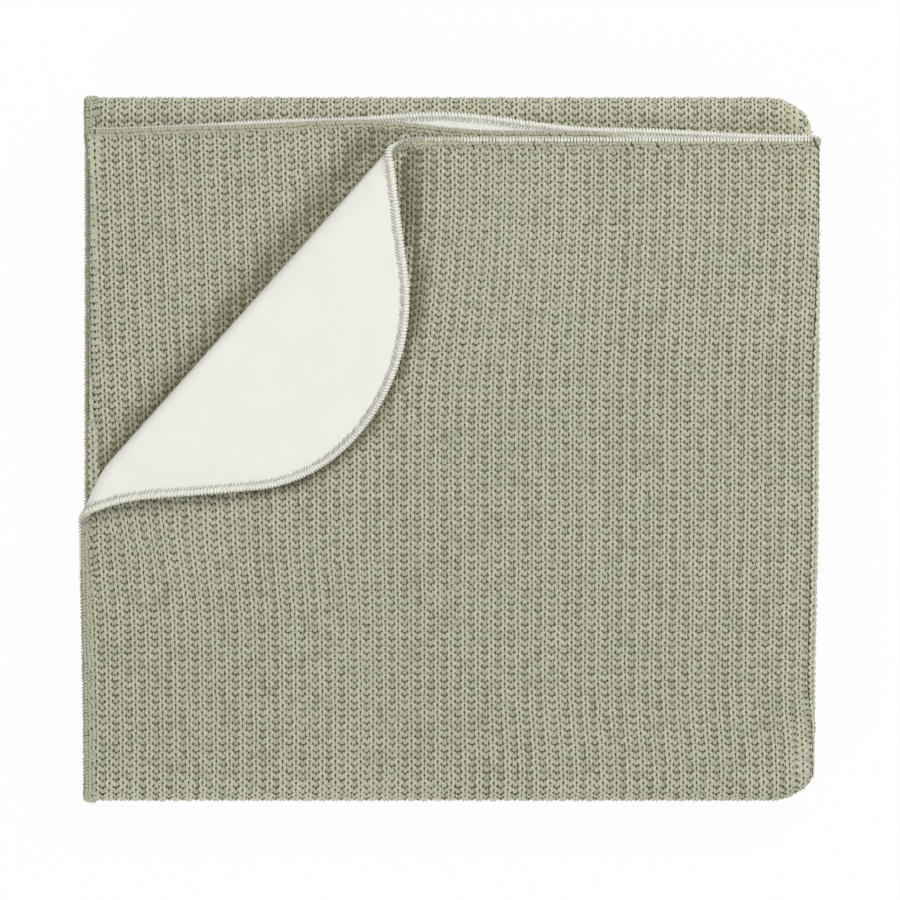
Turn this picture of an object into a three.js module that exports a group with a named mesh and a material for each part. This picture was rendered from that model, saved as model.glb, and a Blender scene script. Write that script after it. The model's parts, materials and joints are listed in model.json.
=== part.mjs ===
import * as THREE from 'three';

// A rib-knit baby blanket with a jersey lining, folded in thirds across the ribs, wrapped
// lengthwise around a short tail, and with one corner of the outermost ply turned back.
// Millimetres, +Z up, +Y toward the free ends, origin under the middle of the folded stack.

// The cloth as cut: u runs across the ribs, v runs along them.
const clothWidth = 1000;
const clothLength = 750;
const cornerRadius = 88;
const cornerSteps = 6;

// One ply is the lining, a gap and the knit. Plies lie one pitch apart.
const liningThickness = 1.0;
const knitThickness = 1.8;
const layerGap = 0.4;
const plyGap = 0.4;
const plyThickness = liningThickness + layerGap + knitThickness;
const pitch = plyThickness + plyGap;
const halfPly = plyThickness / 2;

// Outline of the folded stack, at the outer faces of its folds.
const foldedWidth = 342.8;
const foldedLength = 327.2;
const leftBendInset = 4.2;
const drawInFront = 0.0125;
const drawInBack = 0.0055;
const slideBack = 0.7;

// Where two folds meet, at the right of the stack, the lengthwise folds draw back.
const softCorner = { width: 21, depth: 10, reach: 60 };

// The tail lifts the front panel by three plies between these two places.
const liftStart = -15;
const liftEnd = 60;
const liftHeight = 3 * pitch;

// The turned-back corner: its fold line from the left edge to the top edge.
const turnLine = { fromX: -168, fromY: -29.7, toX: -23.5, toY: 141.8 };
const turnRadius = 3.5;
const turnSteps = 6;
const turnRest = pitch + 0.5;
const turnSettle = 80;
const turnSlip = 0.07;
const turnBulge = { size: 6.7, rise: 0.12, fade: 1.08, reach: 70 };

// Where the turned corner meets the top edge, that edge dips toward the middle.
const tipDip = { size: 4, fromX: -31.1, toX: -14.4, reach: 100 };

// Section across the ribs, from the free edge of the inner panel to that of the outer one.
const leftBendX = -foldedWidth / 2 + leftBendInset + pitch / 2 + halfPly;
const rightBendX = foldedWidth / 2 - pitch - halfPly;
const middleLength = rightBendX - leftBendX;
const outerLength = rightBendX + foldedWidth / 2;
const softStartX = foldedWidth / 2 - softCorner.width;
const softLength = rightBendX - softStartX;
const turnedLength = 160;
const bendsLength = Math.PI * pitch * 1.5;
const innerLength = clothWidth - middleLength - outerLength - bendsLength;
const acrossRuns = [
  { name: 'inner panel', length: innerLength, turn: 0, steps: 5 },
  { name: 'left bend', length: Math.PI * pitch / 2, turn: Math.PI, steps: 4 },
  { name: 'middle panel', length: middleLength - softLength, turn: 0, steps: 5 },
  { name: 'middle soft corner', length: softLength, turn: 0, steps: 3 },
  { name: 'right bend', length: Math.PI * pitch, turn: Math.PI, steps: 4 },
  { name: 'outer soft corner', length: softLength, turn: 0, steps: 3 },
  { name: 'outer panel', length: outerLength - softLength - turnedLength, turn: 0, steps: 3 },
  { name: 'turned corner', length: turnedLength, turn: 0, steps: 7 },
];

// Where the front end of each panel lies, by its place in the folded stack.
const frontEnds = [
  { panel: 'inner', x: 150, y: 146 },
  { panel: 'inner', x: 23, y: 147 },
  { panel: 'inner', x: -42, y: 152 },
  { panel: 'inner', x: -110, y: 149.5 },
  { panel: 'inner', x: -160, y: 148 },
  { panel: 'middle', x: -160, y: 148 },
  { panel: 'middle', x: -60, y: 152.5 },
  { panel: 'middle', x: -5, y: 155.4 },
  { panel: 'middle', x: 70, y: 148.3 },
  { panel: 'middle', x: 160, y: 145 },
  { panel: 'outer', x: 160, y: 143.7 },
];

// Lengthwise: the bend centres, and the rows of the mesh on the front panel.
const outerBendRadius = 2.5 * pitch + halfPly;
const endBendY = foldedLength / 2 - outerBendRadius;
const bendZ = 2.5 * pitch + halfPly;
const frontRows = [118, 89, 60, 45, 30, 15, 0, -15, -50];
const bendSteps = 6;
const backSteps = 2;
const tailSteps = 2;

const smooth = (t) => {
  const s = Math.min(Math.max(t, 0), 1);
  return s * s * (3 - 2 * s);
};

// Place, offset and knit-side normal of the section at u.
function placeAcross(u) {
  let heading = Math.PI;
  let x = leftBendX + innerLength;
  let offset = pitch;
  let rest = u;
  for (const run of acrossRuns) {
    const part = run === acrossRuns.at(-1) ? rest : Math.min(rest, run.length);
    if (run.turn > 0) {
      const radius = run.length / run.turn;
      const turned = heading + part / radius;
      x += radius * (Math.sin(turned) - Math.sin(heading));
      offset -= radius * (Math.cos(turned) - Math.cos(heading));
      heading = turned;
    } else {
      x += part * Math.cos(heading);
      offset += part * Math.sin(heading);
    }
    rest -= part;
    if (rest <= 0) break;
  }
  return { x, offset, normalX: Math.sin(heading), normalOffset: -Math.cos(heading) };
}

// u of a place x on one of the three panels.
const middleStart = innerLength + Math.PI * pitch / 2;
const outerStart = middleStart + middleLength + Math.PI * pitch;
const panelPlace = {
  inner: (x) => leftBendX + innerLength - x,
  middle: (x) => middleStart + x - leftBendX,
  outer: (x) => outerStart + rightBendX - x,
};
const endTable = frontEnds.map((row) => ({ u: panelPlace[row.panel](row.x), y: row.y }));

// y of the front end of the cloth at u.
function frontEnd(u) {
  if (u <= endTable[0].u) return endTable[0].y;
  for (let i = 1; i < endTable.length; i += 1) {
    const before = endTable[i - 1];
    const after = endTable[i];
    if (u <= after.u) {
      return before.y + (after.y - before.y) * smooth((u - before.u) / (after.u - before.u));
    }
  }
  return endTable.at(-1).y;
}

// y of a place on a front panel, before the corner is turned.
function frontY(u, v) {
  const y = frontEnd(u) - v;
  if (u < outerStart) return y;
  const near = 1 - smooth((placeAcross(u).x - tipDip.fromX) / (tipDip.toX - tipDip.fromX));
  return y - tipDip.size * near * (1 - smooth(v / tipDip.reach));
}

// Lengths along v at u: to the bottom bend, round a bend, and along the back panel.
function lengthwise(u) {
  const bend = Math.PI * (pitch / 2 + placeAcross(u).offset);
  return { front: frontEnd(u) + endBendY, bend, back: 2 * endBendY };
}

const frontZ = (y) => bendZ + pitch / 2 + liftHeight * smooth((y - liftStart) / (liftEnd - liftStart));

// The fold line of the turned corner as a unit direction and its normal toward the corner.
const turnSpan = Math.hypot(turnLine.toX - turnLine.fromX, turnLine.toY - turnLine.fromY);
const turnAlongX = (turnLine.toX - turnLine.fromX) / turnSpan;
const turnAlongY = (turnLine.toY - turnLine.fromY) / turnSpan;
const turnNormalX = -turnAlongY;
const turnNormalY = turnAlongX;

const pastTurn = (x, y) => (x - turnLine.fromX) * turnNormalX + (y - turnLine.fromY) * turnNormalY;
const alongTurn = (x, y) => (x - turnLine.fromX) * turnAlongX + (y - turnLine.fromY) * turnAlongY;

// How far the fold line stands out of the straight line, fading away from it.
function bulge(x, y) {
  const along = Math.min(Math.max(alongTurn(x, y) / turnSpan, 0), 1);
  const rise = Math.sin(Math.PI / 2 * Math.min(along / turnBulge.rise, 1));
  const near = 1 - smooth(Math.abs(pastTurn(x, y)) / turnBulge.reach);
  return turnBulge.size * rise * (1 - along) ** turnBulge.fade * near;
}

// A point of the outer front panel, turned over the fold line where it lies past it.
function turnedPoint(flatX, flatY, height, offset) {
  const past = Math.max(pastTurn(flatX, flatY) + turnRadius, 0);
  const turned = Math.min(past / turnRadius, Math.PI);
  const beyond = Math.max(past - Math.PI * turnRadius, 0);
  const reach = (turnRadius - height) * Math.sin(turned) - beyond;
  const sunk = (2 * turnRadius - turnRest) * smooth(beyond / turnSettle);
  const lift = turnRadius - (turnRadius - height) * Math.cos(turned) - sunk;
  const slip = turnSlip * beyond;
  const turnedX = flatX + (reach - past) * turnNormalX - slip * turnAlongX;
  const turnedY = flatY + (reach - past) * turnNormalY - slip * turnAlongY;
  const out = bulge(turnedX, turnedY);
  const y = turnedY + out * turnNormalY;
  return { x: turnedX + out * turnNormalX, y, z: frontZ(y) + offset + lift };
}

// How far the soft corner moves a place in toward the middle, along y.
function drawnBack(x, y) {
  const share = smooth((Math.abs(y) - endBendY + softCorner.reach) / softCorner.reach);
  return Math.sign(y) * share * softCorner.depth * (Math.max(x - softStartX, 0) / softCorner.width) ** 2;
}

// The folded place of the point (u, v) of the cloth, height above the middle of its ply.
function foldedPoint(u, v, height) {
  const across = placeAcross(u);
  const run = lengthwise(u);
  const offset = across.offset + height * across.normalOffset;
  const radius = pitch / 2 + offset;
  let x = across.x + height * across.normalX;
  let y;
  let z;
  let rest = v;
  if (rest <= run.front) {
    y = frontY(u, rest);
    z = frontZ(y) + offset;
    if (u >= outerStart) ({ x, y, z } = turnedPoint(x, y, height, across.offset));
  } else if ((rest -= run.front) <= run.bend) {
    const angle = Math.PI * rest / run.bend;
    y = -endBendY - radius * Math.sin(angle);
    z = bendZ + radius * Math.cos(angle);
  } else if ((rest -= run.bend) <= run.back) {
    y = -endBendY + rest;
    z = bendZ - radius;
  } else if ((rest -= run.back) <= run.bend) {
    const angle = Math.PI * rest / run.bend;
    y = endBendY + radius * Math.sin(angle);
    z = bendZ - radius * Math.cos(angle);
  } else {
    y = endBendY - (rest - run.bend);
    z = bendZ + radius;
  }
  const onFront = smooth(2 * v / run.front - 1);
  const onBack = smooth((v - run.front) / (run.bend + run.back));
  const scale = 1 - drawInFront * onFront - drawInBack * onBack;
  if (v > run.front || y < 0) y -= drawnBack(x, y);
  return new THREE.Vector3(x * scale - slideBack * onBack, y, z);
}

// Places of the mesh's columns across the cloth.
function columnPlaces() {
  const places = [0];
  for (const run of acrossRuns) {
    const start = places.at(-1);
    for (let i = 1; i <= run.steps; i += 1) places.push(start + run.length * i / run.steps);
  }
  return places;
}

// Places of the mesh's rows along the column at u.
function rowPlaces(u) {
  const run = lengthwise(u);
  const places = [0, ...frontRows.map((y) => frontEnd(u) - y), run.front];
  const stretches = [
    { length: run.bend, steps: bendSteps },
    { length: run.back, steps: backSteps },
    { length: run.bend, steps: bendSteps },
    { length: clothLength - run.front - 2 * run.bend - run.back, steps: tailSteps },
  ];
  for (const { length, steps } of stretches) {
    const start = places.at(-1);
    for (let i = 1; i <= steps; i += 1) places.push(start + length * i / steps);
  }
  return places;
}

// The flat cloth as a grid of triangles whose lines follow every bend.
function flatGrid() {
  const columns = columnPlaces().map((u) => rowPlaces(u).map((v) => ({ u, v })));
  const rows = columns[0].length;
  const points = columns.flat();
  const triangles = [];
  for (let i = 0; i + 1 < columns.length; i += 1) {
    for (let j = 0; j + 1 < rows; j += 1) {
      const a = i * rows + j;
      const b = a + rows;
      triangles.push([a, b, b + 1], [a, b + 1, a + 1]);
    }
  }
  return { points, triangles };
}

// Splits the triangles that cross the line where distance is zero.
function splitAlong(flat, distance, snap) {
  const sides = flat.points.map((point) => {
    const side = distance(point);
    return Math.abs(side) < snap ? 0 : side;
  });
  const crossings = new Map();
  const crossing = (a, b) => {
    const key = a < b ? `${a} ${b}` : `${b} ${a}`;
    if (!crossings.has(key)) {
      const t = sides[a] / (sides[a] - sides[b]);
      const from = flat.points[a];
      const to = flat.points[b];
      flat.points.push({ u: from.u + t * (to.u - from.u), v: from.v + t * (to.v - from.v) });
      sides.push(0);
      crossings.set(key, flat.points.length - 1);
    }
    return crossings.get(key);
  };
  flat.triangles = flat.triangles.flatMap((triangle) => {
    const signs = triangle.map((corner) => Math.sign(sides[corner]));
    if (!signs.includes(1) || !signs.includes(-1)) return [triangle];
    const most = Math.sign(signs[0] + signs[1] + signs[2]);
    const lone = signs.includes(0) ? signs.indexOf(0) : signs.indexOf(-most);
    const [a, b, c] = [0, 1, 2].map((step) => triangle[(lone + step) % 3]);
    if (signs[lone] === 0) {
      const middle = crossing(b, c);
      return [[a, b, middle], [a, middle, c]];
    }
    const first = crossing(a, b);
    const second = crossing(a, c);
    return [[a, first, second], [first, b, c], [first, c, second]];
  });
  return sides;
}

// Cuts away what lies past one chord of a rounded corner.
function trimPast(flat, distance) {
  const sides = splitAlong(flat, distance, 0.5);
  flat.triangles = flat.triangles.filter((triangle) => triangle.every((corner) => sides[corner] <= 0));
}

function roundCorners(flat) {
  const inset = cornerRadius * Math.cos(Math.PI / 4 / cornerSteps);
  for (const atU of [0, clothWidth]) {
    for (const atV of [0, clothLength]) {
      const centreU = Math.abs(atU - cornerRadius);
      const centreV = Math.abs(atV - cornerRadius);
      for (let i = 0; i < cornerSteps; i += 1) {
        const angle = Math.PI / 2 * (i + 0.5) / cornerSteps;
        const outU = Math.sign(atU - centreU) * Math.cos(angle);
        const outV = Math.sign(atV - centreV) * Math.sin(angle);
        trimPast(flat, (p) => (p.u - centreU) * outU + (p.v - centreV) * outV - inset);
      }
    }
  }
}

// Lines along the turned corner, so that its curl is round.
function creaseTurn(flat) {
  for (let i = 0; i <= turnSteps; i += 1) {
    const place = turnRadius * (Math.PI * i / turnSteps - 1);
    splitAlong(flat, ({ u, v }) => {
      const onFront = u > outerStart && v < lengthwise(u).front;
      return onFront ? pastTurn(placeAcross(u).x, frontY(u, v)) - place : -1;
    }, 0.3);
  }
}

// A closed sheet between two heights of the ply, over the whole cut cloth.
function sheetSolid(flat, low, high) {
  const used = [...new Set(flat.triangles.flat())];
  const index = new Map(used.map((corner, i) => [corner, i]));
  const positions = [high, low].flatMap((height) => used.flatMap((corner) => {
    const { u, v } = flat.points[corner];
    return foldedPoint(u, v, height).toArray();
  }));
  const under = used.length;
  const faces = [];
  const edges = new Map();
  for (const triangle of flat.triangles) {
    const [a, b, c] = triangle.map((corner) => index.get(corner));
    faces.push([a, b, c], [c + under, b + under, a + under]);
    for (const [from, to] of [[a, b], [b, c], [c, a]]) {
      if (!edges.delete(`${to} ${from}`)) edges.set(`${from} ${to}`, [from, to]);
    }
  }
  for (const [from, to] of edges.values()) {
    faces.push([to, from, from + under], [to, from + under, to + under]);
  }
  const geometry = new THREE.BufferGeometry();
  geometry.setAttribute('position', new THREE.Float32BufferAttribute(positions, 3));
  geometry.setIndex(faces.flat());
  geometry.computeVertexNormals();
  return geometry;
}

function sheetMesh(name, geometry, color, roughness) {
  const material = new THREE.MeshStandardMaterial({ color, roughness, metalness: 0 });
  material.name = name;
  const mesh = new THREE.Mesh(geometry, material);
  mesh.name = name;
  return mesh;
}

const flat = flatGrid();
roundCorners(flat);
creaseTurn(flat);

const liningTop = -halfPly + liningThickness;
const blanket = new THREE.Group();
blanket.add(sheetMesh('knit_face', sheetSolid(flat, liningTop + layerGap, halfPly), 0xa4a38d, 0.9));
blanket.add(sheetMesh('jersey_lining', sheetSolid(flat, -halfPly, liningTop), 0xedece5, 0.85));

export default blanket;
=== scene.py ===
# A rib-knit baby blanket, lined with jersey and overlocked all round, folded with one corner turned back.
import json
import math

import bmesh
import bpy
import numpy as np
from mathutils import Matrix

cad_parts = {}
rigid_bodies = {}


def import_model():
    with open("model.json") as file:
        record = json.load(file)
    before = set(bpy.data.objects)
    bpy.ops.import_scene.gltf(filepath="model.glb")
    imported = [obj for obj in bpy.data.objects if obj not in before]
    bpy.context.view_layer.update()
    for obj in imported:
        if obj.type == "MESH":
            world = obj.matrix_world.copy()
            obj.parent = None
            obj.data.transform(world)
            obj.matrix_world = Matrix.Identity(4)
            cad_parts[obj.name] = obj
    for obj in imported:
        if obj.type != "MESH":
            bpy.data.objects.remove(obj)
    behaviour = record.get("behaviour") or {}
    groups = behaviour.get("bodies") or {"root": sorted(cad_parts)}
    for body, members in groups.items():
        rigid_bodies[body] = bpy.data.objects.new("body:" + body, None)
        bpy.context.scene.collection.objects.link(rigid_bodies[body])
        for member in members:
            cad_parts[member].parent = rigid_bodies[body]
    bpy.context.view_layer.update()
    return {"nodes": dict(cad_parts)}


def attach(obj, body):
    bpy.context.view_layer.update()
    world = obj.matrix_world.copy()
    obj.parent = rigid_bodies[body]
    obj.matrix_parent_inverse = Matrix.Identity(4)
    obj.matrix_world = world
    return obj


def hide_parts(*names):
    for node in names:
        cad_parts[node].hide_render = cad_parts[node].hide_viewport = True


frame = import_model()
mm = 0.001
print("frame loaded:", sorted(frame["nodes"]))

# ---- camera: straight down from far away

view = {"lens": 500, "sensor": 36, "fieldWidth": 415.9 * mm, "focusZ": 34 * mm, "placeY": -0.45 * mm}

cameraData = bpy.data.cameras.new("camera")
cameraData.lens = view["lens"]
cameraData.sensor_width = view["sensor"]
cameraData.clip_end = 60
camera = bpy.data.objects.new("camera", cameraData)
bpy.context.scene.collection.objects.link(camera)
bpy.context.scene.camera = camera
distance = view["fieldWidth"] * view["lens"] / view["sensor"]
camera.location = (0, view["placeY"], view["focusZ"] + distance)

# ---- how the cloth is folded, in millimetres: u runs across the ribs, v along them

cloth = {
    "width": 1000,
    "length": 750,
    "cornerRadius": 88,
    "liningThickness": 1.0,
    "knitThickness": 1.8,
    "layerGap": 0.4,
    "plyGap": 0.4,
}
fold = {
    "width": 342.8,
    "length": 327.2,
    "leftBendInset": 4.2,
    "drawInFront": 0.0125,
    "drawInBack": 0.0055,
    "slideBack": 0.7,
    "softWidth": 21,
    "softDepth": 10,
    "softReach": 60,
    "liftStart": -15,
    "liftEnd": 60,
}
turn = {  # the turned-back corner: its fold line, its roll and how the line bows out
    "fromX": -168,
    "fromY": -29.7,
    "toX": -23.5,
    "toY": 141.8,
    "radius": 3.5,
    "restGap": 0.5,
    "settle": 80,
    "slip": 0.07,
    "bowSize": 6.7,
    "bowRise": 0.12,
    "bowFade": 1.08,
    "bowReach": 70,
}
# the top edge dips beside the turned corner
tipDip = {"size": 4, "fromX": -31.1, "toX": -14.4, "reach": 100}
plyThickness = cloth["liningThickness"] + cloth["layerGap"] + cloth["knitThickness"]
pitch = plyThickness + cloth["plyGap"]
halfPly = plyThickness / 2
liningTop = -halfPly + cloth["liningThickness"]
liftHeight = 3 * pitch
turnRest = pitch + turn["restGap"]

leftBend = math.pi * pitch / 2
rightBend = math.pi * pitch
leftBendX = -fold["width"] / 2 + fold["leftBendInset"] + pitch / 2 + halfPly
rightBendX = fold["width"] / 2 - pitch - halfPly
softStartX = fold["width"] / 2 - fold["softWidth"]
middleLength = rightBendX - leftBendX
outerLength = rightBendX + fold["width"] / 2
innerLength = cloth["width"] - middleLength - outerLength - leftBend - rightBend
middleStart = innerLength + leftBend
outerStart = middleStart + middleLength + rightBend
acrossRuns = [(innerLength, 0), (leftBend, math.pi), (middleLength, 0), (rightBend, math.pi), (None, 0)]
frontEnds = [  # u and y of the front end of the cloth
    (leftBendX + innerLength - 150, 146),
    (leftBendX + innerLength - 23, 147),
    (leftBendX + innerLength + 42, 152),
    (leftBendX + innerLength + 110, 149.5),
    (leftBendX + innerLength + 160, 148),
    (middleStart - leftBendX - 160, 148),
    (middleStart - leftBendX - 60, 152.5),
    (middleStart - leftBendX - 5, 155.4),
    (middleStart - leftBendX + 70, 148.3),
    (middleStart - leftBendX + 160, 145),
    (outerStart + rightBendX - 160, 143.7),
]
outerFrontY = frontEnds[-1][1]
bendZ = 2.5 * pitch + halfPly
endBendY = fold["length"] / 2 - bendZ
turnSpan = math.hypot(turn["toX"] - turn["fromX"], turn["toY"] - turn["fromY"])
turnAlongX = (turn["toX"] - turn["fromX"]) / turnSpan
turnAlongY = (turn["toY"] - turn["fromY"]) / turnSpan
turnNormalX, turnNormalY = -turnAlongY, turnAlongX


def smooth(t):
    s = np.clip(t, 0, 1)
    return s * s * (3 - 2 * s)


def placeAcross(u):
    # the section across the ribs: place, height and knit-side normal
    x = np.full(u.shape, leftBendX + innerLength)
    offset = np.full(u.shape, pitch)
    heading = np.full(u.shape, math.pi)
    start = 0
    for length, angle in acrossRuns:
        part = np.clip(u - start, 0, length)
        if angle:
            radius = length / angle
            turned = heading + part / radius
            x = x + radius * (np.sin(turned) - np.sin(heading))
            offset = offset - radius * (np.cos(turned) - np.cos(heading))
            heading = turned
        else:
            x = x + part * np.cos(heading)
            offset = offset + part * np.sin(heading)
        start += length or 0
    return x, offset, np.sin(heading), -np.cos(heading)


def frontEnd(u):
    y = np.full(u.shape, float(frontEnds[0][1]))
    for (fromU, fromY), (toU, toY) in zip(frontEnds, frontEnds[1:]):
        y = y + (toY - fromY) * smooth((u - fromU) / (toU - fromU))
    return y


def lengthwise(u):
    # lengths to the bottom bend, round a bend, and along the back
    bend = math.pi * (pitch / 2 + placeAcross(u)[1])
    return frontEnd(u) + endBendY, bend, 2 * endBendY


def frontY(u, v):
    near = 1 - smooth((placeAcross(u)[0] - tipDip["fromX"]) / (tipDip["toX"] - tipDip["fromX"]))
    dip = tipDip["size"] * near * (1 - smooth(v / tipDip["reach"]))
    return frontEnd(u) - v - np.where(u >= outerStart, dip, 0)


def frontZ(y):
    rise = smooth((y - fold["liftStart"]) / (fold["liftEnd"] - fold["liftStart"]))
    return bendZ + pitch / 2 + liftHeight * rise


def pastTurn(x, y):
    return (x - turn["fromX"]) * turnNormalX + (y - turn["fromY"]) * turnNormalY


def bow(x, y):
    along = np.clip(((x - turn["fromX"]) * turnAlongX + (y - turn["fromY"]) * turnAlongY) / turnSpan, 0, 1)
    rise = np.sin(math.pi / 2 * np.minimum(along / turn["bowRise"], 1))
    near = 1 - smooth(np.abs(pastTurn(x, y)) / turn["bowReach"])
    return turn["bowSize"] * rise * (1 - along) ** turn["bowFade"] * near


def turnedPoint(flatX, flatY, height, offset):
    radius = turn["radius"]
    past = np.maximum(pastTurn(flatX, flatY) + radius, 0)
    turned = np.minimum(past / radius, math.pi)
    beyond = np.maximum(past - math.pi * radius, 0)
    reach = (radius - height) * np.sin(turned) - beyond
    sunk = (2 * radius - turnRest) * smooth(beyond / turn["settle"])
    lift = radius - (radius - height) * np.cos(turned) - sunk
    slip = turn["slip"] * beyond
    x = flatX + (reach - past) * turnNormalX - slip * turnAlongX
    y = flatY + (reach - past) * turnNormalY - slip * turnAlongY
    out = bow(x, y)
    x, y = x + out * turnNormalX, y + out * turnNormalY
    return x, y, frontZ(y) + offset + lift


def drawnBack(x, y):
    share = smooth((np.abs(y) - endBendY + fold["softReach"]) / fold["softReach"])
    return np.sign(y) * share * fold["softDepth"] * (np.maximum(x - softStartX, 0) / fold["softWidth"]) ** 2


def foldedPoint(u, v, height):
    # where the point (u, v) of the cloth lies, height above the middle of its ply, in metres
    u, v = np.asarray(u, float), np.asarray(v, float)
    acrossX, middle, normalX, normalOffset = placeAcross(u)
    ahead = frontY(u, v)
    front, bend, back = lengthwise(u)
    offset = middle + height * normalOffset
    radius = pitch / 2 + offset
    x = acrossX + height * normalX
    starts = [front, front + bend, front + bend + back, front + 2 * bend + back]
    stretches = [v <= start for start in starts]
    bottomTurn = math.pi * (v - starts[0]) / bend
    topTurn = math.pi * (v - starts[2]) / bend
    bottomY = -endBendY - radius * np.sin(bottomTurn)
    topY = endBendY + radius * np.sin(topTurn)
    bottomZ = bendZ + radius * np.cos(bottomTurn)
    topZ = bendZ - radius * np.cos(topTurn)
    y = np.select(stretches, [ahead, bottomY, v - starts[1] - endBendY, topY], endBendY - (v - starts[3]))
    z = np.select(stretches, [frontZ(ahead) + offset, bottomZ, bendZ - radius, topZ], bendZ + radius)
    outer = (u >= outerStart) & (v <= front)
    turnedX, turnedY, turnedZ = turnedPoint(x, y, height, middle)
    x, y, z = np.where(outer, turnedX, x), np.where(outer, turnedY, y), np.where(outer, turnedZ, z)
    onFront = smooth(2 * v / front - 1)
    onBack = smooth((v - front) / (bend + back))
    scale = 1 - fold["drawInFront"] * onFront - fold["drawInBack"] * onBack
    y = y - np.where((v > front) | (y < 0), drawnBack(x, y), 0)
    return np.stack([x * scale - fold["slideBack"] * onBack, y, z], -1) * mm


def insideEdge(u, v):
    # distance from the cut edge of the cloth, positive inside
    radius = cloth["cornerRadius"]
    overU = np.abs(u - cloth["width"] / 2) - cloth["width"] / 2 + radius
    overV = np.abs(v - cloth["length"] / 2) - cloth["length"] / 2 + radius
    outside = np.hypot(np.maximum(overU, 0), np.maximum(overV, 0))
    return radius - outside - np.minimum(np.maximum(overU, overV), 0)


# ---- small helpers


def addObject(name, mesh):
    piece = bpy.data.objects.new(name, mesh)
    bpy.context.scene.collection.objects.link(piece)
    return piece


def spread(*stretches):
    # places along a line, from lengths and how many steps each is cut into
    places = [0.0]
    for length, steps in stretches:
        start = places[-1]
        places += [start + length * (i + 1) / steps for i in range(steps)]
    return np.array(places)


# ---- materials


def newMaterial(name, roughness, sheen=0.0):
    material = bpy.data.materials.new(name)
    material.use_nodes = True
    shader = material.node_tree.nodes["Principled BSDF"]
    shader.inputs["Roughness"].default_value = roughness
    shader.inputs["Sheen Weight"].default_value = sheen
    shader.inputs["Specular IOR Level"].default_value = 0.25
    return material, material.node_tree, shader


def linear(red, green, blue):
    def channel(c):
        c /= 255
        return c / 12.92 if c <= 0.04045 else ((c + 0.055) / 1.055) ** 2.4

    return (channel(red), channel(green), channel(blue), 1)


def mixColour(tree, factor, first, second):
    mix = tree.nodes.new("ShaderNodeMix")
    mix.data_type = "RGBA"
    tree.links.new(factor, mix.inputs["Factor"])
    for socket, value in ((mix.inputs[6], first), (mix.inputs[7], second)):
        if isinstance(value, tuple):
            socket.default_value = value
        else:
            tree.links.new(value, socket)
    return mix.outputs[2]


def noise(tree, scale, detail, vector):
    node = tree.nodes.new("ShaderNodeTexNoise")
    node.inputs["Scale"].default_value = scale
    node.inputs["Detail"].default_value = detail
    tree.links.new(vector, node.inputs["Vector"])
    return node.outputs["Fac"]


def steeper(tree, value, low, high):
    node = tree.nodes.new("ShaderNodeMapRange")
    node.inputs["From Min"].default_value = low
    node.inputs["From Max"].default_value = high
    tree.links.new(value, node.inputs["Value"])
    return node.outputs["Result"]


def addBump(tree, shader, height, strength, distance):
    bump = tree.nodes.new("ShaderNodeBump")
    bump.inputs["Strength"].default_value = strength
    bump.inputs["Distance"].default_value = distance
    tree.links.new(height, bump.inputs["Height"])
    tree.links.new(bump.outputs["Normal"], shader.inputs["Normal"])


def onObject(tree):
    return tree.nodes.new("ShaderNodeTexCoord").outputs["Object"]


def onCloth(tree):
    uv = tree.nodes.new("ShaderNodeUVMap")
    uv.uv_map = "cloth"
    return uv.outputs["UV"]


yarnLook = {
    "green": linear(203, 204, 179),
    "pink": linear(208, 204, 183),
    # the tone and the flecks mix the yarn towards this dark colour: random unevenness, and painted shade on
    # the bead column and beside the turned corner
    "dark": linear(140, 138, 112),
    "blotch": 75,  # this and the other noise scales are per metre
    "blotchStretch": (0.6, 1.3, 1),
    "blotchEdge": (0.42, 0.62),
    "flecks": 1500,
    "fleckEdge": (0.48, 0.7),
    "fleckShare": 0.3,
    "fuzz": 2600,
    "fuzzStrength": 0.7,
    "fuzzDepth": 0.3 * mm,
    "roughness": 0.92,
    "sheen": 0.15,
}


def yarnMaterial(name, look):
    material, tree, shader = newMaterial(name, look["roughness"], look["sheen"])
    place = onObject(tree)
    squeeze = tree.nodes.new("ShaderNodeMapping")
    squeeze.inputs["Scale"].default_value = look["blotchStretch"]
    tree.links.new(place, squeeze.inputs["Vector"])
    blotch = steeper(tree, noise(tree, look["blotch"], 2, squeeze.outputs["Vector"]), *look["blotchEdge"])
    melange = mixColour(tree, blotch, look["green"], look["pink"])
    # tone: random unevenness plus painted shade, read per stitch
    tone = tree.nodes.new("ShaderNodeAttribute")
    tone.attribute_name = "tone"
    shade = tree.nodes.new("ShaderNodeMath")
    shade.operation = "MULTIPLY_ADD"
    tree.links.new(steeper(tree, noise(tree, look["flecks"], 2, place), *look["fleckEdge"]), shade.inputs[0])
    shade.inputs[1].default_value = look["fleckShare"]
    tree.links.new(tone.outputs["Fac"], shade.inputs[2])
    colour = mixColour(tree, shade.outputs[0], melange, look["dark"])
    tree.links.new(colour, shader.inputs["Base Color"])
    addBump(tree, shader, noise(tree, look["fuzz"], 3, place), look["fuzzStrength"], look["fuzzDepth"])
    return material


# the ground sheet under the stitches is much darker than the yarn: painted shade for the openings between
# stitches, added to the real occlusion there
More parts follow.
